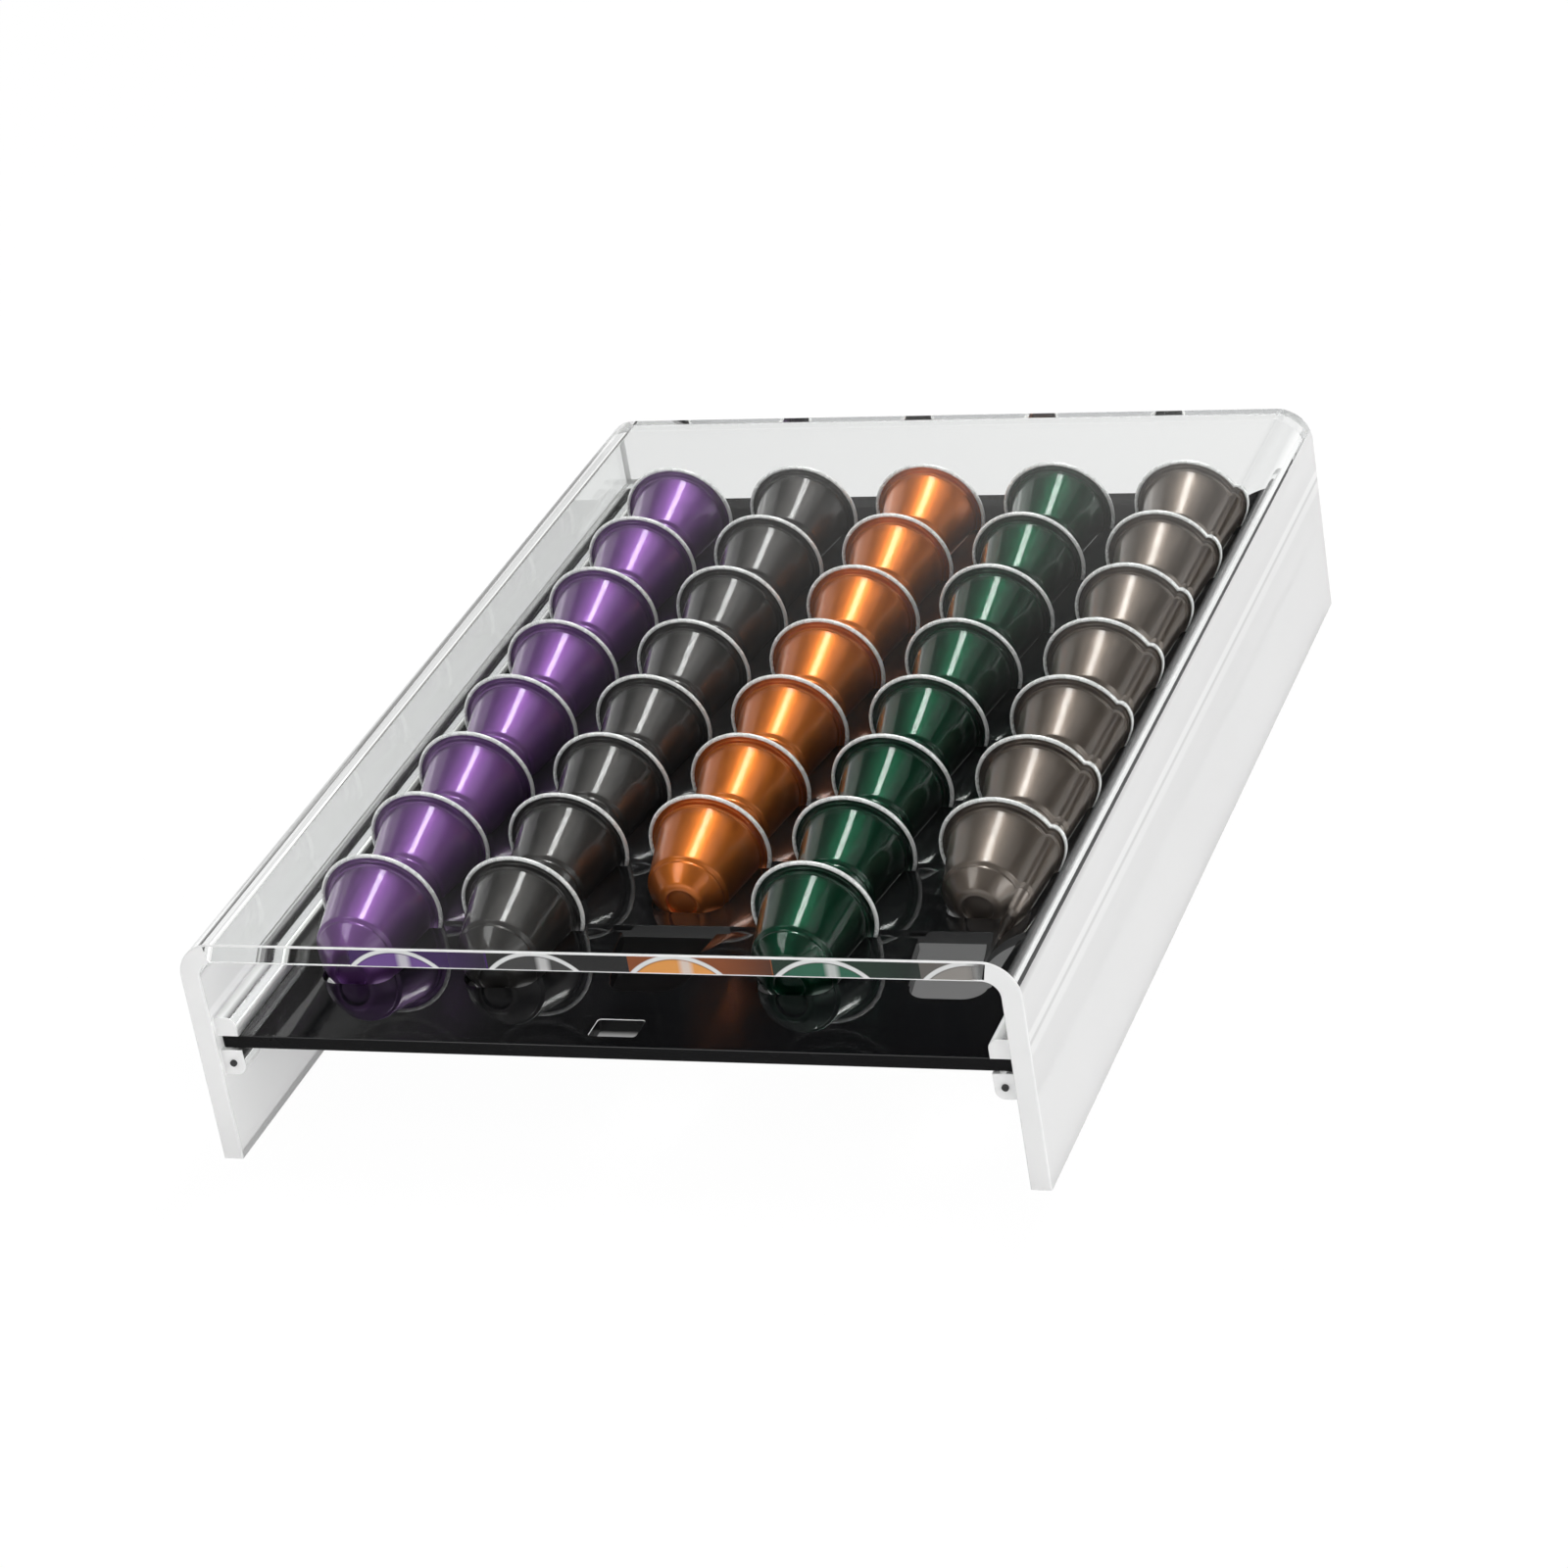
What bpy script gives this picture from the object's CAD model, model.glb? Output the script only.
"""Coffee pod drawer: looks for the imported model. Metres, in the frame of the CAD part.

The sheet, the rails, the tray and the pods are drawn again from the part's own sizes, with
finer edges. The lids and the pins keep their CAD meshes."""

import math

import bmesh
import bpy
from mathutils import Matrix, Vector


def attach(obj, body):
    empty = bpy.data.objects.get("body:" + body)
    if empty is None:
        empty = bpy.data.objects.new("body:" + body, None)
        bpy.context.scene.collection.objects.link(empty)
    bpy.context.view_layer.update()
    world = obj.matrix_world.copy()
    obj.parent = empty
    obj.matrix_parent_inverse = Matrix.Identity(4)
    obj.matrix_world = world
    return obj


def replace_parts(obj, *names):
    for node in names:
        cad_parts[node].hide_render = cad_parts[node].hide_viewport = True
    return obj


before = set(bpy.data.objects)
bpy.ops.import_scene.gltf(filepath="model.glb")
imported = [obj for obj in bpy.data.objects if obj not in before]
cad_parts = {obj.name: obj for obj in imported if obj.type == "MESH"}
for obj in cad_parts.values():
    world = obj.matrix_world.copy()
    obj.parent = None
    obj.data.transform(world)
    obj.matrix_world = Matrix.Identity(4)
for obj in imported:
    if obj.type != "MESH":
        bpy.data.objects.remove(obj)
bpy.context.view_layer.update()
MM = 0.001

# ---------------------------------------------------------------- sizes, in millimetres

STAND_W, STAND_D, STAND_H = 245.0, 356.1, 70.0
SHEET, BEND_R = 6.0, 11.0
INNER_X = STAND_W / 2 - SHEET
BEND_STEPS = 24

RAIL_Y = 176.05
RAIL_W, UPPER_H, LOWER_H, RAIL_R = 6.5, 6.0, 8.0, 2.9
RAIL_SINK = 0.1
SLIDE_GAP = 0.25

TRAY_W, TRAY_T = 232.1, 4.0
TRAY_Y0, TRAY_Y1 = -175.05, 173.05
TRAY_Z0 = 35.0
TRAY_TOP = TRAY_Z0 + TRAY_T
CORNER_R = 1.0
SLOT_W, SLOT_L, SLOT_MARGIN = 14.0, 9.0, 5.5

SHEET_EDGE, RAIL_EDGE, TRAY_EDGE = 0.5, 0.3, 0.25

COL_PITCH, ROW_PITCH, COLS, ROWS = 44.0, 37.8, 5, 8
FIRST_FLANGE_Y = -117.05
AXIS_Z = 44.9
TILT = math.radians(7)
COLUMNS = ("purple", "black", "copper", "green", "taupe")
EMPTY_IN_FRONT = (2, 4)

# The pod as its seat sees it: radii, distances from the flange's back, and gaps
FLANGE_R, CUP_R, SHOULDER_R, NOSE_R = 18.55, 15.3, 12.0, 11.0
FLANGE_L, SHOULDER_L, NOSE_FOOT, CUP_L = 2.2, 22.0, 22.7, 28.2
WALL_GAP, SLOT_GAP, SLOT_BACK_GAP = 0.15, 0.45, 0.65
POD_STEPS = 96


def col_x(col):
    return (col - (COLS - 1) / 2) * COL_PITCH


def flange_y(row):
    return FIRST_FLANGE_Y + row * ROW_PITCH


def has_pod(col, row):
    return not (row == 0 and col in EMPTY_IN_FRONT)


# ---------------------------------------------------------------- node helpers


class Nodes:
    """A short way to write a node tree."""

    def __init__(self, tree):
        self.tree = tree
        tree.nodes.clear()

    def add(self, kind, **settings):
        node = self.tree.nodes.new("ShaderNode" + kind)
        for name, value in settings.items():
            setattr(node, name, value)
        return node

    def link(self, a, b):
        self.tree.links.new(a, b)


def material(name):
    mat = bpy.data.materials.new(name)
    mat.use_nodes = True
    return mat, Nodes(mat.node_tree)


def with_values(node, **values):
    """values use the sockets' names with _ for spaces."""
    for name, value in values.items():
        node.inputs[name.replace("_", " ")].default_value = value
    return node


def principled(n, **values):
    return with_values(n.add("BsdfPrincipled"), **values)


def finish_with(n, shader):
    out = n.add("OutputMaterial")
    n.link(shader, out.inputs["Surface"])


def mix_shaders(n, factor, a, b):
    mix = n.add("MixShader")
    for socket, value in zip(mix.inputs, (factor, a, b)):
        n.link(value, socket)
    return mix.outputs[0]


def mix_colours(n, factor, a, b):
    """a and b are sockets or plain colours."""
    mix = n.add("Mix", data_type="RGBA")
    n.link(factor, mix.inputs[0])
    for socket, value in ((mix.inputs[6], a), (mix.inputs[7], b)):
        if isinstance(value, tuple):
            socket.default_value = (*value, 1)
        else:
            n.link(value, socket)
    return mix.outputs[2]


def remap(n, source, x0, x1, y0, y1):
    """Straight line from (x0, y0) to (x1, y1), level outside them."""
    node = with_values(n.add("MapRange"), From_Min=x0, From_Max=x1, To_Min=y0, To_Max=y1)
    n.link(source, node.inputs["Value"])
    return node.outputs["Result"]


def maths(n, operation, a, b=0.0):
    """a and b are sockets or numbers."""
    node = n.add("Math", operation=operation)
    for socket, value in zip(node.inputs, (a, b)):
        if isinstance(value, float):
            socket.default_value = value
        else:
            n.link(value, socket)
    return node.outputs[0]


def ramp_of(n, place, stops, interpolation="LINEAR"):
    """Colour by place. stops are pairs of position and colour."""
    node = n.add("ValToRGB")
    ramp = node.color_ramp
    ramp.interpolation = interpolation
    for i, (position, colour) in enumerate(stops):
        stop = ramp.elements[i] if i < len(ramp.elements) else ramp.elements.new(position)
        stop.position, stop.color = position, (*colour, 1)
    n.link(place, node.inputs["Fac"])
    return node.outputs["Color"]


def distance_to(n, value, middle):
    return maths(n, "ABSOLUTE", maths(n, "SUBTRACT", value, middle))


def split_xyz(n, vector):
    split = n.add("SeparateXYZ")
    n.link(vector, split.inputs[0])
    return split.outputs


def object_mm(n, axis):
    """The point's own x, y or z in the CAD frame, in millimetres."""
    place = split_xyz(n, n.add("TexCoord").outputs["Object"])
    return maths(n, "MULTIPLY", place[axis], 1000.0)


def noise_of(n, scale, detail=2.0):
    """Noise in the object's own space, from 0 to 1."""
    noise = with_values(n.add("TexNoise"), Scale=scale, Detail=detail)
    n.link(n.add("TexCoord").outputs["Object"], noise.inputs["Vector"])
    return noise.outputs["Fac"]


def bump_of(n, height, strength, distance):
    bump = with_values(n.add("Bump"), Strength=strength, Distance=distance)
    n.link(height, bump.inputs["Height"])
    return bump.outputs["Normal"]


def grey_of(n, level):
    tone = n.add("CombineColor")
    for channel in ("Red", "Green", "Blue"):
        n.link(level, tone.inputs[channel])
    return tone.outputs[0]


# ---------------------------------------------------------------- clear sheet

ACRYLIC_IOR = 1.49
# Lines along the legs: middle height and half width in millimetres, and change of brightness
LEG_LINES = ((47.2, 1.7, 0.15), (45.2, 0.9, -0.12), (43.0, 2.2, 0.10), (60.0, 9.0, 0.03))
# Layer Weight's Facing between which the sheet turns milky, and the milky share at both ends
MILKY_SLANT, MILKY_SHARE = (0.35, 0.66), (0.04, 0.93)


def glass(n, straight=None):
    """Clear sheet as a shader. Lamps' rays pass it straight, as they nearly do through the real
    one. straight is a normal to use instead of the sheet's very slight waves."""
    body = principled(
        n,
        Base_Color=(0.985, 0.995, 0.99, 1),
        Roughness=0.0,
        IOR=ACRYLIC_IOR,
        Transmission_Weight=1.0,
    )
    n.link(straight or bump_of(n, noise_of(n, 25.0), 0.1, 0.0001), body.inputs["Normal"])
    through = with_values(n.add("BsdfTransparent"), Color=(0.92, 0.93, 0.925, 1))
    path = n.add("LightPath")
    return mix_shaders(n, path.outputs["Is Shadow Ray"], body.outputs[0], through.outputs[0])


def clear_acrylic():
    mat, n = material("clear_acrylic")
    finish_with(n, glass(n))
    return mat


def milky_acrylic(name, with_lines):
    """The legs and rails are the same clear sheet. Seen aslant they turn milky, because their
    faces pass light to and fro between the white surroundings. The upper rail's glued joint
    shows through the leg as a bright line with a darker one under it."""
    mat, n = material(name)
    white = principled(n, Roughness=0.3, IOR=ACRYLIC_IOR)
    level = remap(n, noise_of(n, 9.0), 0.3, 0.7, 0.84, 0.88)
    if with_lines:
        z = object_mm(n, "Z")
        for middle, half, change in LEG_LINES:
            line = remap(n, distance_to(n, z, middle), half * 0.5, half, change, 0.0)
            level = maths(n, "ADD", level, line)
    n.link(grey_of(n, level), white.inputs["Base Color"])
    slant = with_values(n.add("LayerWeight"), Blend=0.5)
    share = remap(n, slant.outputs["Facing"], *MILKY_SLANT, *MILKY_SHARE)
    direct = maths(n, "SUBTRACT", 1.0, n.add("LightPath").outputs["Is Glossy Ray"])
    share = maths(n, "MULTIPLY", share, direct)
    finish_with(n, mix_shaders(n, share, glass(n), white.outputs[0]))
    return mat


# The pods' rims as the polished front face shows them, in millimetres: the first arc's middle,
# the step to the next, the radius, the middle's height, and how far left of it a cell starts
ARC_FIRST, ARC_PITCH, ARC_R, ARC_Z, ARC_LEFT = -56.0, 41.3, 18.6, 51.4, 14.0
# Where the row of arcs fades in and out along X, and how strongly it shows
ARCS_LEFT, ARCS_RIGHT, ARCS_SHARE = (-69.5, -69.0), (108.0, 112.0), 0.94
# Distances from an arc's middle between which the cup and both sides of the rim fade
CUP_ZONE = (ARC_R - 1.2, ARC_R - 1.6)
RIM_INSIDE, RIM_OUTSIDE = (ARC_R - 1.3, ARC_R - 1.0), (ARC_R - 0.1, ARC_R + 0.2)
# The same sideways, for the streak of light on the cup and for the column's colour, which fades
# to dark between two arcs
STREAK_X, STREAK_ZONE, STREAK_SHARE = 3.0, (0.8, 2.4), 0.7
FADE_ZONE, FADE_SHARES = (13.0, 27.0), (1.0, 0.35)
DARK, STREAK_WHITE, RIM_WHITE = (0.004, 0.004, 0.004), (0.8, 0.8, 0.8), (0.85, 0.86, 0.86)
# One colour for each column
IN_ARC = (
    (0.16, 0.07, 0.30),
    (0.05, 0.05, 0.05),
    (0.85, 0.36, 0.08),
    (0.02, 0.13, 0.075),
    (0.30, 0.28, 0.26),
)
BETWEEN_ARCS = (
    (0.035, 0.006, 0.09),
    (0.006, 0.006, 0.006),
    (0.26, 0.065, 0.012),
    (0.003, 0.025, 0.012),
    (0.12, 0.11, 0.10),
)


def column_ramp(n, place, colours):
    """One colour for each fifth of place."""
    stops = [(i / COLS, colour) for i, colour in enumerate(colours)]
    return ramp_of(n, place, stops, "CONSTANT")


def arc_colours(n, x, z):
    """Colour of the front face with an arc for each column: its rim, the cup inside it with a
    streak of light, and the dark between one arc and the next."""
    cell = maths(n, "DIVIDE", maths(n, "SUBTRACT", x, ARC_FIRST - ARC_LEFT), ARC_PITCH)
    place = maths(n, "MULTIPLY", cell, 1 / COLS)
    across = maths(n, "MULTIPLY", maths(n, "FRACT", cell), ARC_PITCH)
    across = maths(n, "SUBTRACT", across, ARC_LEFT)
    up = maths(n, "SUBTRACT", z, ARC_Z)
    squares = [maths(n, "MULTIPLY", side, side) for side in (across, up)]
    radius = maths(n, "SQRT", maths(n, "ADD", *squares))
    inside = remap(n, radius, *CUP_ZONE, 0.0, 1.0)
    within = remap(n, radius, *RIM_OUTSIDE, 1.0, 0.0)
    on_rim = maths(n, "MULTIPLY", remap(n, radius, *RIM_INSIDE, 0.0, 1.0), within)
    streak = remap(n, distance_to(n, across, STREAK_X), *STREAK_ZONE, STREAK_SHARE, 0.0)
    streak = maths(n, "MULTIPLY", streak, inside)
    fade = remap(n, across, *FADE_ZONE, *FADE_SHARES)
    between = mix_colours(n, fade, DARK, column_ramp(n, place, BETWEEN_ARCS))
    colour = mix_colours(n, inside, between, column_ramp(n, place, IN_ARC))
    colour = mix_colours(n, streak, colour, STREAK_WHITE)
    return mix_colours(n, on_rim, colour, RIM_WHITE)


def cut_face():
    """The panel's front cut face. Light is led as if it came in through the top face, because
    the long path inside the sheet has more reflections than a render follows, and the pods'
    rims that the polished face shows are coloured arcs, one for each column."""
    mat, n = material("acrylic_front_face")
    up = with_values(n.add("CombineXYZ"), Z=1.0)
    x = object_mm(n, "X")
    painted = principled(n, Roughness=0.15, IOR=ACRYLIC_IOR)
    n.link(arc_colours(n, x, object_mm(n, "Z")), painted.inputs["Base Color"])
    start = remap(n, x, *ARCS_LEFT, 0.0, ARCS_SHARE)
    share = maths(n, "MULTIPLY", start, remap(n, x, *ARCS_RIGHT, 1.0, 0.0))
    finish_with(n, mix_shaders(n, share, glass(n, up.outputs[0]), painted.outputs[0]))
    mat.cycles.use_bump_map_correction = False
    return mat


# Values of the noise, and the edge's colour there
EDGE_TONES = ((0.35, (0.94, 0.945, 0.945)), (0.6, (0.99, 0.99, 0.99)))


def bright_edge():
    """Polished cut edges of clear sheet, which glow white with the light led inside it."""
    mat, n = material("acrylic_edge")
    body = principled(n, Roughness=0.18, IOR=ACRYLIC_IOR, Coat_Weight=0.2)
    n.link(ramp_of(n, noise_of(n, 30.0), EDGE_TONES), body.inputs["Base Color"])
    finish_with(n, body.outputs[0])
    return mat


# ---------------------------------------------------------------- other materials

BLACK_COLOUR = (0.004, 0.004, 0.0045, 1)
# Colour, roughness, coat weight and coat roughness of each column's lacquer
LACQUERS = {
    "purple": ((0.19, 0.075, 0.275), 0.5, 1.0, 0.04),
    "black": ((0.060, 0.057, 0.055), 0.5, 1.0, 0.06),
    "copper": ((0.68, 0.18, 0.024), 0.42, 0.8, 0.15),
    "green": ((0.002, 0.040, 0.018), 0.42, 1.0, 0.03),
    "taupe": ((0.165, 0.134, 0.112), 0.44, 0.9, 0.13),
}


def black_acrylic():
    """The black sheet's faces. Handling leaves faint smears on the gloss."""
    mat, n = material("black_acrylic")
    body = principled(n, Base_Color=BLACK_COLOUR, IOR=ACRYLIC_IOR)
    n.link(remap(n, noise_of(n, 14.0, 6.0), 0.45, 0.75, 0.02, 0.06), body.inputs["Roughness"])
    finish_with(n, body.outputs[0])
    return mat


def black_cut():
    """The black sheet's sawn and flamed edges, less glossy than its faces."""
    mat, n = material("black_acrylic_edge")
    body = principled(n, Base_Color=BLACK_COLOUR, IOR=ACRYLIC_IOR, Specular_IOR_Level=0.12)
    n.link(remap(n, noise_of(n, 60.0), 0.4, 0.7, 0.18, 0.34), body.inputs["Roughness"])
    finish_with(n, body.outputs[0])
    return mat


def lacquer(name, colour, rough, coat, coat_rough):
    """Drawn aluminium under a coloured lacquer, with a very fine grain."""
    mat, n = material(name)
    metal = principled(
        n,
        Base_Color=(*colour, 1),
        Metallic=1.0,
        Roughness=rough,
        Coat_Weight=coat,
        Coat_Roughness=coat_rough,
        Coat_IOR=1.5,
    )
    n.link(bump_of(n, noise_of(n, 900.0), 0.01, 0.00002), metal.inputs["Normal"])
    finish_with(n, metal.outputs[0])
    return mat


def bare_aluminium():
    """The pods' rolled rims, finely scuffed."""
    mat, n = material("rim_aluminium")
    metal = principled(n, Base_Color=(0.97, 0.97, 0.965, 1), Metallic=0.25)
    n.link(remap(n, noise_of(n, 400.0, 4.0), 0.35, 0.65, 0.2, 0.32), metal.inputs["Roughness"])
    n.link(bump_of(n, noise_of(n, 700.0), 0.02, 0.00003), metal.inputs["Normal"])
    finish_with(n, metal.outputs[0])
    return mat


def lid_foil():
    """Slightly crinkled foil."""
    mat, n = material("lid_foil")
    metal = principled(n, Base_Color=(0.72, 0.73, 0.74, 1), Metallic=1.0, Roughness=0.3)
    n.link(bump_of(n, noise_of(n, 260.0, 3.0), 0.25, 0.0003), metal.inputs["Normal"])
    finish_with(n, metal.outputs[0])
    return mat


def dark_pin():
    mat, n = material("dark_pin")
    body = principled(n, Base_Color=(0.02, 0.02, 0.02, 1))
    n.link(remap(n, noise_of(n, 900.0, 4.0), 0.35, 0.65, 0.3, 0.5), body.inputs["Roughness"])
    finish_with(n, body.outputs[0])
    return mat


CLEAR = clear_acrylic()
LEG = milky_acrylic("clear_acrylic_leg", True)
RAIL = milky_acrylic("clear_acrylic_rail", False)
FRONT = cut_face()
EDGE = bright_edge()
BLACK = black_acrylic()
BLACK_CUT = black_cut()
RIM = bare_aluminium()
FOIL = lid_foil()
PIN = dark_pin()
CUPS = {colour: lacquer("cup_" + colour, *values) for colour, values in LACQUERS.items()}

# ---------------------------------------------------------------- mesh helpers


def new_object(name, mesh, *mats):
    obj = bpy.data.objects.new(name, mesh)
    for mat in mats:
        mesh.materials.append(mat)
    bpy.context.scene.collection.objects.link(obj)
    return obj


def mesh_of(bm, name):
    mesh = bpy.data.meshes.new(name)
    bm.to_mesh(mesh)
    bm.free()
    return mesh


def flat_normals(obj):
    """Keeps the large flat faces flat in the shading and rounds only the narrow ones."""
    for face in obj.data.polygons:
        face.use_smooth = True
    weighted = obj.modifiers.new("normals", "WEIGHTED_NORMAL")
    weighted.weight = 100
    weighted.keep_sharp = True


def arc(cx, cy, r, a0, a1, steps):
    """Points of an arc, with angles in degrees."""
    out = []
    for i in range(steps + 1):
        a = math.radians(a0 + (a1 - a0) * i / steps)
        out.append((cx + r * math.cos(a), cy + r * math.sin(a)))
    return out


# ---------------------------------------------------------------- stand


def stand_path():
    """The sheet's middle line as (x, z, outward nx, nz), from the left foot to the right."""
    w, h = STAND_W / 2 - SHEET / 2, STAND_H - SHEET / 2
    r = BEND_R - SHEET / 2
    path = [(-w, 0, -1, 0)]
    for side, a0, a1 in ((-1, 180, 90), (1, 90, 0)):
        for nx, nz in arc(0, 0, 1, a0, a1, BEND_STEPS):
            path.append((side * (w - r) + r * nx, h - r + r * nz, nx, nz))
    path.append((w, 0, 1, 0))
    return path


FLAT, CUT, CORNER = 0, 1, 2
# How far the sheet has to lie level, from 0 to 1, for its flat and cut faces to look like the
# panel's
PANEL_RISE, PANEL_CUT_RISE = 0.35, 0.985


def sheet_section(edge):
    """The sheet's cut through its thickness and depth: (offset, y, part) with rounded corners.
    part is that of the strip after the point."""
    t, d = SHEET / 2, STAND_D / 2
    points = []
    for st, sy, a0, part in (
        (1, 1, 0, CUT),
        (-1, 1, 90, FLAT),
        (-1, -1, 180, CUT),
        (1, -1, 270, FLAT),
    ):
        corner = arc(st * (t - edge), sy * (d - edge), edge, a0, a0 + 90, 4)
        points += [(o, y, CORNER) for o, y in corner[:-1]] + [(*corner[-1], part)]
    return points


def stand_look(part, y, rise):
    """Place in make_stand's list of materials. rise is 1 on the panel and 0 on the legs."""
    clear, front, edge, leg = range(4)
    if part == FLAT:
        return clear if rise > PANEL_RISE else leg
    if part == CUT and rise > PANEL_CUT_RISE:
        return clear if y > 0 else front
    return edge


def make_stand():
    section = sheet_section(SHEET_EDGE)
    path = stand_path()
    bm = bmesh.new()
    rings = [
        [bm.verts.new(((x + nx * o) * MM, y * MM, (z + nz * o) * MM)) for o, y, _ in section]
        for x, z, nx, nz in path
    ]
    for a, b, before, after in zip(rings, rings[1:], path, path[1:]):
        rise = (before[3] + after[3]) / 2
        for i, (_, y, part) in enumerate(section):
            j = (i + 1) % len(section)
            face = bm.faces.new((a[i], a[j], b[j], b[i]))
            face.material_index = stand_look(part, y, rise)
    bm.faces.new(rings[0])
    bm.faces.new(list(reversed(rings[-1])))
    bmesh.ops.recalc_face_normals(bm, faces=bm.faces)
    mesh = mesh_of(bm, "stand_sheet")
    obj = new_object("stand_sheet", mesh, CLEAR, FRONT, EDGE, LEG)
    for e in mesh.edges:
        if all(mesh.vertices[v].co.z < 1e-6 for v in e.vertices):
            e.use_edge_sharp = True
    flat_normals(obj)
    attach(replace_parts(obj, "stand"), "stand")


def rail_outline(side, z, h, up):
    """Bar with its inner edge rounded above or below. Its back sinks a little into the leg."""
    back, front = INNER_X + RAIL_SINK, INNER_X - RAIL_W
    r = RAIL_R
    if up:
        points = [(back, z), (back, z + h)]
        points += arc(front + r, z + h - r, r, 90, 180, 8) + [(front, z)]
    else:
        points = [(back, z + h), (front, z + h)]
        points += arc(front + r, z + r, r, 180, 270, 8) + [(back, z)]
    return [(side * x, zz) for x, zz in points]


def rail_bar(name, outline):
    """Solid of constant XZ outline as long as the rails, with small rounded end edges."""
    bm = bmesh.new()
    end = bm.faces.new([bm.verts.new((x * MM, -RAIL_Y * MM, z * MM)) for x, z in outline])
    side = bmesh.ops.extrude_face_region(bm, geom=[end])
    moved = [v for v in side["geom"] if isinstance(v, bmesh.types.BMVert)]
    bmesh.ops.translate(bm, verts=moved, vec=(0, 2 * RAIL_Y * MM, 0))
    bmesh.ops.recalc_face_normals(bm, faces=bm.faces)
    ends = [e for e in bm.edges if abs(e.verts[0].co.y - e.verts[1].co.y) < 1e-7]
    bmesh.ops.bevel(
        bm, geom=ends, offset=RAIL_EDGE * MM, segments=2, profile=0.5, affect="EDGES"
    )
    for face in bm.faces:
        if abs(face.normal.y) > 0.3:
            face.material_index = 1
    obj = new_object(name, mesh_of(bm, name), RAIL, EDGE)
    flat_normals(obj)
    return obj


def make_rails():
    for side, word in ((-1, "left"), (1, "right")):
        upper = rail_outline(side, TRAY_TOP + SLIDE_GAP, UPPER_H, True)
        lower = rail_outline(side, TRAY_Z0 - SLIDE_GAP - LOWER_H, LOWER_H, False)
        for kind, outline in (("upper", upper), ("lower", lower)):
            node = f"{kind}_rail_{word}"
            obj = rail_bar(node + "_bar", outline)
            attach(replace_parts(obj, node), "stand")


# ---------------------------------------------------------------- tray


def chord(r, ahead):
    """Half width of a lying cup of radius r at the tray's top face."""
    drop = (AXIS_Z - TRAY_TOP) * math.cos(TILT) - ahead * math.sin(TILT)
    return math.sqrt(r * r - drop * drop)


def seat_outline():
    """The hole for one pod, from its flange's middle at 0, 0: a slot for the flange, and the
    cup's own outline where it passes the tray's top face."""
    rise = AXIS_Z - TRAY_TOP

    def ahead(s):
        return (s - rise * math.sin(TILT)) / math.cos(TILT)

    front = ahead(FLANGE_L) + SLOT_GAP
    back = (rise * math.cos(TILT) + TRAY_T) * math.tan(TILT) + SLOT_BACK_GAP
    slot = chord(FLANGE_R, 0) + SLOT_GAP
    cup, shoulder, foot = chord(CUP_R, 0) + WALL_GAP, ahead(SHOULDER_L), ahead(NOSE_FOOT)
    waist, nose = chord(SHOULDER_R, shoulder) + WALL_GAP, chord(NOSE_R, foot) + SLOT_GAP
    r = ahead(CUP_L) - foot + SLOT_GAP
    right = [(slot, back), (slot, -front), (cup, -front), (waist, -shoulder)]
    right += arc(nose - r, -foot, r, 0, -90, 8)
    return right + [(-x, y) for x, y in reversed(right)]


def rounded_rect(w, l, y0):
    r = CORNER_R
    low, high = y0 + r, y0 + l - r
    out = []
    for sx, y, a0 in ((1, low, -90), (1, high, 0), (-1, high, 90), (-1, low, 180)):
        out += arc(sx * (w / 2 - r), y, r, a0, a0 + 90, 5)
    return out


def tray_curve():
    """The tray's outline, finger slot and seats, filled and given their small bevels."""
    curve = bpy.data.curves.new("tray_sheet", "CURVE")
    curve.dimensions = "2D"
    curve.fill_mode = "BOTH"
    curve.extrude = (TRAY_T / 2 - TRAY_EDGE) * MM
    curve.bevel_depth = TRAY_EDGE * MM
    curve.bevel_resolution = 1
    curve.offset = -TRAY_EDGE * MM
    loops = [rounded_rect(TRAY_W, TRAY_Y1 - TRAY_Y0, TRAY_Y0)]
    loops.append(rounded_rect(SLOT_W, SLOT_L, TRAY_Y0 + SLOT_MARGIN))
    seat = seat_outline()
    for col in range(COLS):
        for row in range(ROWS):
            loops.append([(x + col_x(col), y + flange_y(row)) for x, y in seat])
    for points in loops:
        spline = curve.splines.new("POLY")
        spline.points.add(len(points) - 1)
        for point, (x, y) in zip(spline.points, points):
            point.co = (x * MM, y * MM, 0, 1)
        spline.use_cyclic_u = True
    return curve


def tray_mesh():
    drawn = bpy.data.objects.new("tray_outline", tray_curve())
    bpy.context.scene.collection.objects.link(drawn)
    drawn.location.z = (TRAY_Z0 + TRAY_T / 2) * MM
    bpy.context.view_layer.update()
    depsgraph = bpy.context.evaluated_depsgraph_get()
    mesh = bpy.data.meshes.new_from_object(drawn.evaluated_get(depsgraph))
    mesh.transform(drawn.matrix_world)
    bpy.data.objects.remove(drawn)
    mesh.materials.clear()
    bm = bmesh.new()
    bm.from_mesh(mesh)
    bmesh.ops.remove_doubles(bm, verts=bm.verts, dist=1e-6)
    bmesh.ops.recalc_face_normals(bm, faces=bm.faces)
    bm.to_mesh(mesh)
    bm.free()
    return mesh


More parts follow.
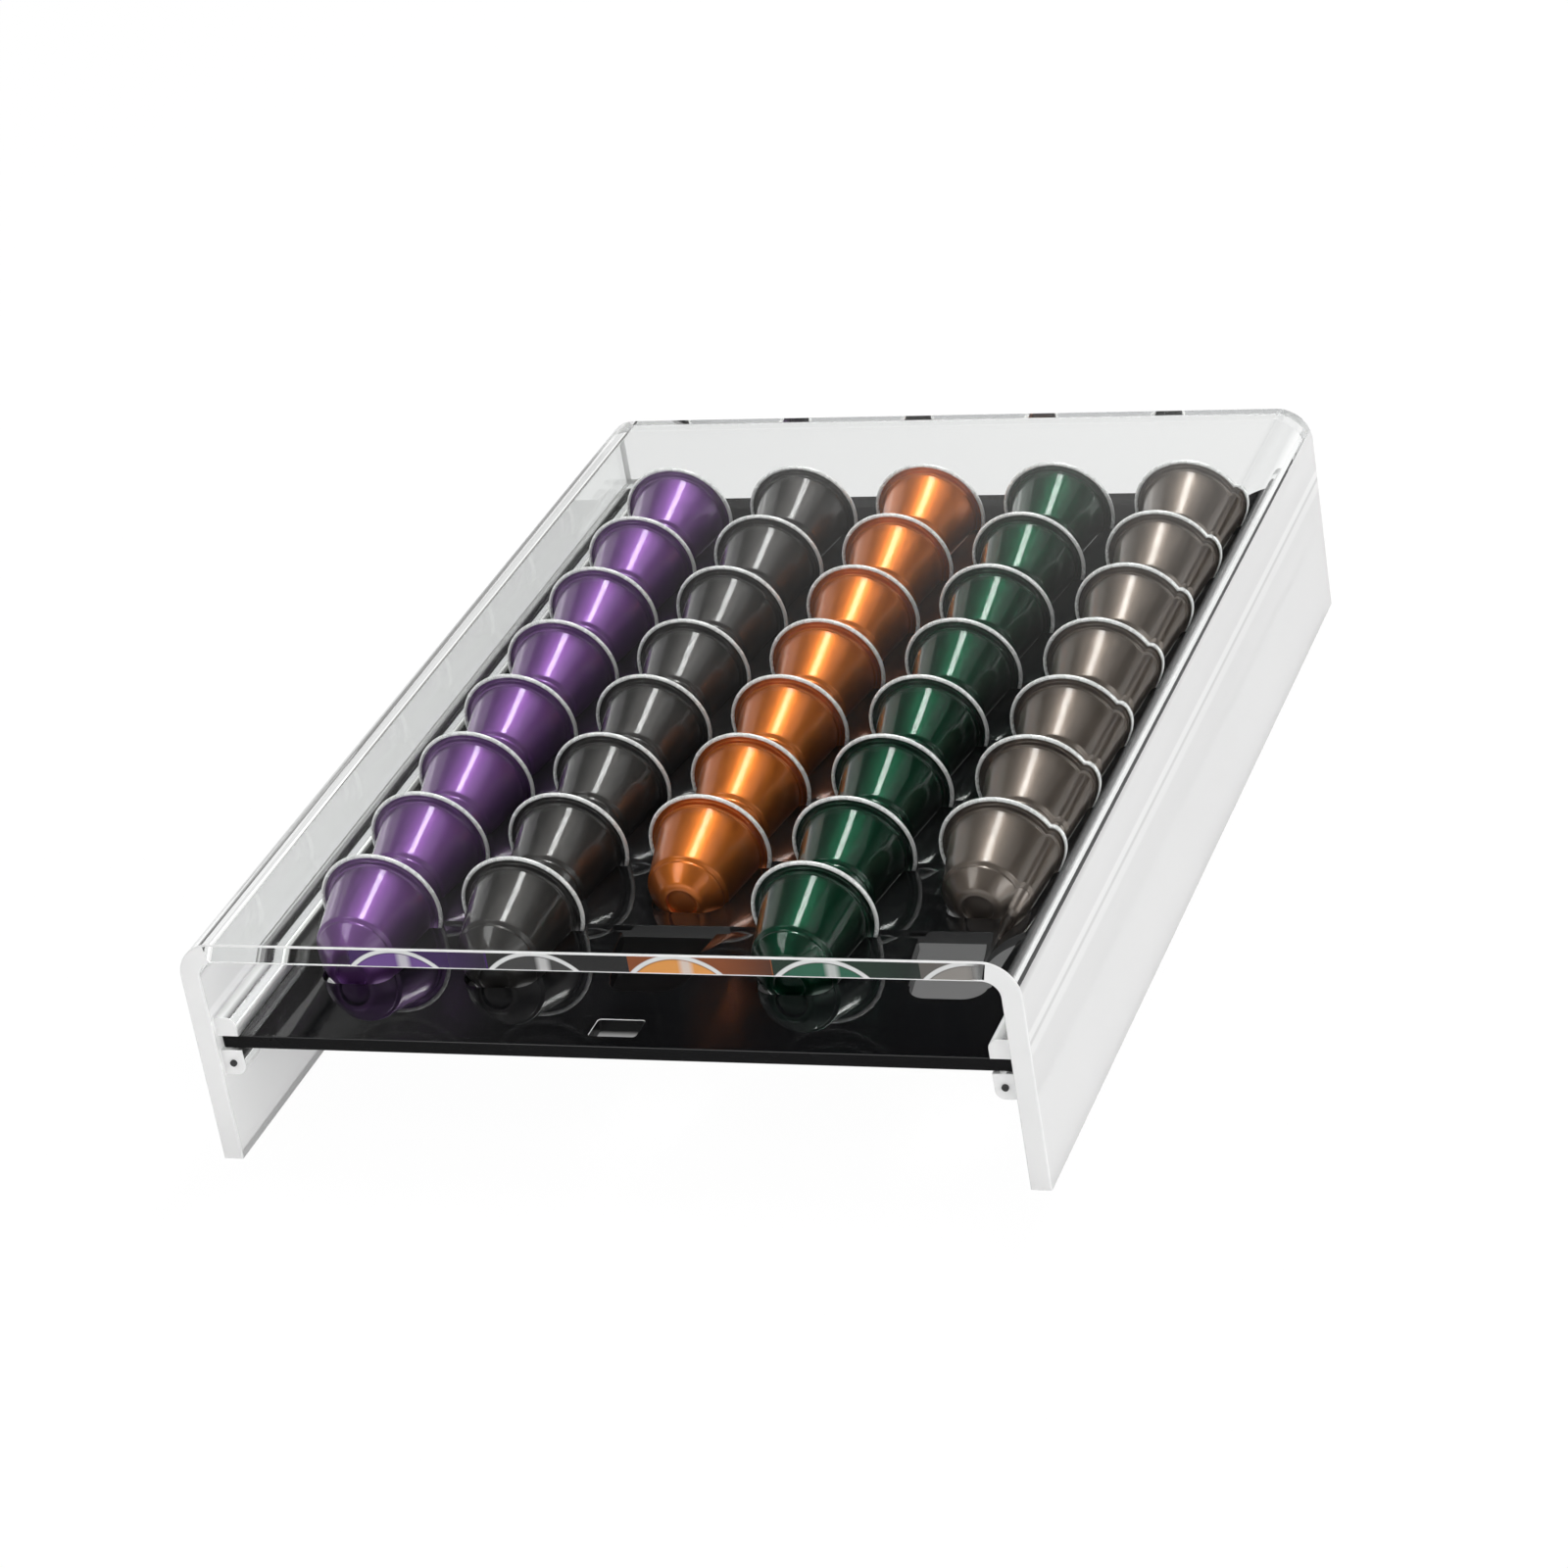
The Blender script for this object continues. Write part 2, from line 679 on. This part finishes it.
def tray_look(face):
    """Place in make_tray's list of materials: the glossy face, a cut edge or a bright bevel. The
    seats' walls stay as glossy as the face."""
    glossy, cut, bright = range(3)
    x, y, _ = face.center / MM
    behind_front = y - TRAY_Y0
    upright, level = abs(face.normal.z) < 0.1, abs(face.normal.z) >= 0.9
    at_edge = behind_front < 1 or abs(x) > TRAY_W / 2 - 1
    in_slot = abs(x) < SLOT_W / 2 + 0.1 and -1 < behind_front - SLOT_MARGIN < SLOT_L + 1
    if upright and at_edge:
        return cut
    if in_slot and not level:
        return bright if face.normal.z > 0.1 else cut
    return glossy


def make_tray():
    obj = new_object("tray_sheet", tray_mesh(), BLACK, BLACK_CUT, EDGE)
    for face in obj.data.polygons:
        face.material_index = tray_look(face)
    flat_normals(obj)
    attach(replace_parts(obj, "tray"), "drawer")


# ---------------------------------------------------------------- pods

CUP, BARE = 0, 1


def bead(cx, cy, r, a0, a1, steps, part=CUP):
    return [(x, y, part) for x, y in arc(cx, cy, r, a0, a1, steps)]


def pod_profile():
    """Half section of a pod as (radius, distance from the flange's back, part), lid first: the
    flange's rolled edge, the collar, the cone, the shoulder's bead, the nose and the dimple."""
    p = [(0.0, 0.0, BARE), (17.3, 0.0, BARE)]
    p += bead(17.9, 0.62, 0.62, -90, 155, 12, BARE)
    p += [(17.2, 0.62, CUP), (16.3, 0.62, CUP)]
    p += bead(16.3, 0.92, 0.3, -90, -180, 3)
    p += [(15.95, 1.9, CUP)]
    p += bead(15.6, 1.9, 0.35, 0, 90, 3)
    p += bead(15.55, 2.5, 0.25, -90, -180, 3)
    p += [(15.2, 2.8, CUP), (12.2, 20.9, CUP)]
    p += bead(11.29, 21.3, 0.85, 8, 62, 5)
    p += bead(11.4, 22.75, 0.35, -130, -185, 3)
    p += bead(10.55, 23.0, 0.5, 0, 42, 4)
    p += bead(5.0, 25.2, 3.0, 46, 90, 7)
    p += bead(4.8, 27.9, 0.3, 90, 160, 4)
    p += [(4.25, 27.0, CUP), (3.7, 26.8, CUP), (2.6, 26.7, CUP), (0.0, 26.7, CUP)]
    return p


def pod_mesh(name, cup_mat):
    """The profile turned about Z. Its two end points lie on the axis."""
    profile = pod_profile()
    bm = bmesh.new()
    rings = []
    for r, s, _ in profile:
        turned = arc(0, 0, r, 0, 360, POD_STEPS)[:-1] if r else [(0, 0)]
        rings.append([bm.verts.new((x * MM, y * MM, s * MM)) for x, y in turned])
    for a, b, (_, _, part) in zip(rings, rings[1:], profile[1:]):
        for i in range(POD_STEPS):
            j = (i + 1) % POD_STEPS
            if len(a) == 1:
                face = bm.faces.new((a[0], b[j], b[i]))
            elif len(b) == 1:
                face = bm.faces.new((a[i], a[j], b[0]))
            else:
                face = bm.faces.new((a[i], a[j], b[j], b[i]))
            face.material_index = part
            face.smooth = True
    bmesh.ops.recalc_face_normals(bm, faces=bm.faces)
    mesh = mesh_of(bm, name)
    mesh.materials.append(cup_mat)
    mesh.materials.append(RIM)
    mesh.set_sharp_from_angle(angle=math.radians(40))
    return mesh


def make_pods():
    turn = Matrix.Rotation(math.radians(90) + TILT, 4, "X")
    for col, colour in enumerate(COLUMNS):
        mesh = pod_mesh("cup_" + colour, CUPS[colour])
        for row in range(ROWS):
            if not has_pod(col, row):
                continue
            node = f"pod_{colour}_{row + 1}"
            obj = new_object(node + "_cup", mesh)
            place = Vector((col_x(col), flange_y(row), AXIS_Z)) * MM
            obj.matrix_world = Matrix.Translation(place) @ turn
            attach(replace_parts(obj, node), "drawer")


def dress_cad_nodes():
    looks = {"lids_" + c: FOIL for c in COLUMNS}
    looks.update({"rail_pin_left": PIN, "rail_pin_right": PIN})
    for node, mat in looks.items():
        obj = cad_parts[node]
        obj.data.materials.clear()
        obj.data.materials.append(mat)


# ---------------------------------------------------------------- studio, in metres

FLOOR_HALF, FLOOR_Z = 6.0, -0.0002
# The floor's shadow: how far occlusion reaches, the values of occlusion and the places between
# which the shadow fades, and where the floor turns white to gloss
SHADOW_REACH, DEEP_ZONE = 0.055, (0.7, 1.0)
FRONT_SEATS_Y, RIGHT_GREY_X, RIGHT_PALE_X = (-0.113, -0.103), (0.0, 0.04), (0.088, 0.112)
LEFT_LEG_X, LEFT_LEG_Y, LEFT_SHADOW = (-0.122, -0.114), (-0.16, 0.0), 0.3
FRONT_FLOOR_Y = (-0.21, -0.17)
# Height of a direction, and the sky's grey there
SKY_STOPS = ((0.10, 1.0), (0.22, 0.008), (0.62, 0.008), (0.85, 0.25))
# The screens' light and the borders over which they fade, by slope (X / Y of the direction) at
# the sides and by height at the top
SCREEN_COLOUR = (1, 0.985, 0.96, 1)
LEFT_LIGHT, LEFT_SIDE, LEFT_TOP = 0.15, (-0.56, -0.485), (0.6, 0.75)
LOW_LIGHT, LOW_LEFT, LOW_RIGHT, LOW_TOP = 0.6, (-0.44, -0.28), (0.0, 0.3), (0.35, 0.44)
# The photograph's camera, fitted to the pods' rims and the sheets' outlines
SENSOR_MM, LENS_MM = 36, 108.062
CAMERA_PLACE, CAMERA_DEGREES = (0.48264, -1.18529, 0.66411), (63.2154, 8.8626, 17.9963)
# Name, azimuth, elevation, distance, width, height, radiance, and whether it shows in gloss
LAMPS = (
    ("top_strip", 9, 64, 1.3, 0.22, 0.95, 14.0, True),
    ("left_low", -54, 20, 1.6, 0.75, 0.9, 0.7, True),
    ("right_high", 50, 50, 1.6, 0.6, 0.6, 0.5, True),
    ("front_key", 211, 48, 1.6, 0.55, 0.55, 4.0, True),
    ("front_fill", 185, 16, 1.8, 1.4, 0.5, 0.9, True),
    ("right_fill", 112, 17, 1.8, 2.2, 0.9, 0.7, True),
    ("front_matt", 185, 16, 1.8, 1.4, 0.5, 1.2, False),
    ("right_matt", 112, 14, 1.8, 1.2, 0.5, 3.6, False),
)


def floor_shade(n, x, y):
    """How much of the floor's own white shows, from 0 in the deep shadow under the tray to 1.
    Under the tray the shadow starts behind the front seats and fades towards the right, where
    light comes in through the leg. On the left of the stand it is faint."""
    covered = with_values(n.add("AmbientOcclusion", samples=12), Distance=SHADOW_REACH)
    deep = remap(n, covered.outputs["AO"], *DEEP_ZONE, 1.0, 0.0)
    behind = remap(n, y, *FRONT_SEATS_Y, 0.0, 1.0)
    grey = remap(n, x, *RIGHT_GREY_X, 1.0, 0.86)
    pale = remap(n, x, *RIGHT_PALE_X, 1.0, 0.0)
    beyond = remap(n, x, *LEFT_LEG_X, 1.0, 0.0)
    outer = maths(n, "MULTIPLY", beyond, remap(n, y, *LEFT_LEG_Y, 0.0, LEFT_SHADOW))
    inner = maths(n, "MULTIPLY", behind, maths(n, "MULTIPLY", grey, pale))
    inner = maths(n, "MULTIPLY", inner, maths(n, "SUBTRACT", 1.0, beyond))
    dark = maths(n, "MULTIPLY", deep, maths(n, "ADD", inner, outer))
    return maths(n, "SUBTRACT", 1.0, dark)


def make_floor():
    """White to the camera and through glass, less so in gloss in front of the stand, and
    plainly matt to everything else."""
    mesh = bpy.data.meshes.new("floor")
    s, z = FLOOR_HALF, FLOOR_Z
    mesh.from_pydata([(-s, -s, z), (s, -s, z), (s, s, z), (-s, s, z)], [], [(0, 1, 2, 3)])
    mat, n = material("floor_white")
    place = split_xyz(n, n.add("NewGeometry").outputs["Position"])
    shade = floor_shade(n, place["X"], place["Y"])
    matte = principled(n, Roughness=0.9)
    n.link(grey_of(n, remap(n, shade, 0.0, 1.0, 0.02, 0.85)), matte.inputs["Base Color"])
    glow = with_values(n.add("Emission"), Color=(1, 1, 1, 1), Strength=1.02)
    path = n.add("LightPath").outputs
    in_gloss = remap(n, place["Y"], *FRONT_FLOOR_Y, 0.15, 0.8)
    seen = maths(n, "MULTIPLY", path["Is Glossy Ray"], in_gloss)
    for kind in ("Is Camera Ray", "Is Transmission Ray"):
        seen = maths(n, "MAXIMUM", seen, path[kind])
    share = maths(n, "MULTIPLY", seen, remap(n, shade, 0.0, 1.0, 0.0, 0.96))
    finish_with(n, mix_shaders(n, share, matte.outputs[0], glow.outputs[0]))
    new_object("floor", mesh, mat)


def sky_ramp(n, height):
    """White near the horizon, nearly dark where the tray's mirror looks, grey overhead."""
    return ramp_of(n, height, [(place, (grey, grey, grey)) for place, grey in SKY_STOPS])


def screens(n, height, slope):
    """A dim screen on the left greys the left half, and a paler one low at the back greys the
    far end."""
    left = remap(n, slope, *LEFT_SIDE, LEFT_LIGHT, 0.0)
    left = maths(n, "MULTIPLY", left, remap(n, height, *LEFT_TOP, 1.0, 0.0))
    low = remap(n, height, *LOW_TOP, LOW_LIGHT, 0.0)
    low = maths(n, "MULTIPLY", low, remap(n, slope, *LOW_LEFT, 0.25, 1.0))
    low = maths(n, "MULTIPLY", low, remap(n, slope, *LOW_RIGHT, 1.0, 0.0))
    return maths(n, "ADD", left, low)


def make_world():
    world = bpy.data.worlds.new("studio")
    bpy.context.scene.world = world
    world.use_nodes = True
    n = Nodes(world.node_tree)
    way = split_xyz(n, n.add("TexCoord").outputs["Generated"])
    slope = maths(n, "DIVIDE", way["X"], way["Y"])
    sky = n.add("Background")
    screen = with_values(n.add("Background"), Color=SCREEN_COLOUR)
    both = n.add("AddShader")
    out = n.add("OutputWorld")
    n.link(sky_ramp(n, way["Z"]), sky.inputs["Color"])
    n.link(screens(n, way["Z"], slope), screen.inputs["Strength"])
    n.link(sky.outputs[0], both.inputs[0])
    n.link(screen.outputs[0], both.inputs[1])
    n.link(both.outputs[0], out.inputs["Surface"])


def softbox(name, azimuth, elevation, distance, width, height, radiance, in_gloss):
    """Area lamp that faces the object. azimuth is measured from +Y towards +X."""
    light = bpy.data.lights.new(name, "AREA")
    light.shape = "RECTANGLE"
    light.size, light.size_y = width, height
    light.energy = radiance * math.pi * width * height
    obj = bpy.data.objects.new(name, light)
    bpy.context.scene.collection.objects.link(obj)
    a, e = math.radians(azimuth), math.radians(elevation)
    way = Vector((math.sin(a) * math.cos(e), math.cos(a) * math.cos(e), math.sin(e)))
    obj.location = way * distance
    obj.rotation_euler = (-way).to_track_quat("-Z", "Y").to_euler()
    obj.visible_camera = False
    obj.visible_glossy = in_gloss


def make_camera():
    data = bpy.data.cameras.new("photo_camera")
    data.sensor_width = SENSOR_MM
    data.lens = LENS_MM
    obj = bpy.data.objects.new("photo_camera", data)
    bpy.context.scene.collection.objects.link(obj)
    obj.location = CAMERA_PLACE
    obj.rotation_euler = [math.radians(a) for a in CAMERA_DEGREES]
    bpy.context.scene.camera = obj


make_camera()
make_floor()
make_world()
for lamp in LAMPS:
    softbox(*lamp)
make_stand()
make_rails()
make_tray()
make_pods()
dress_cad_nodes()

bpy.context.scene.view_settings.view_transform = "Standard"
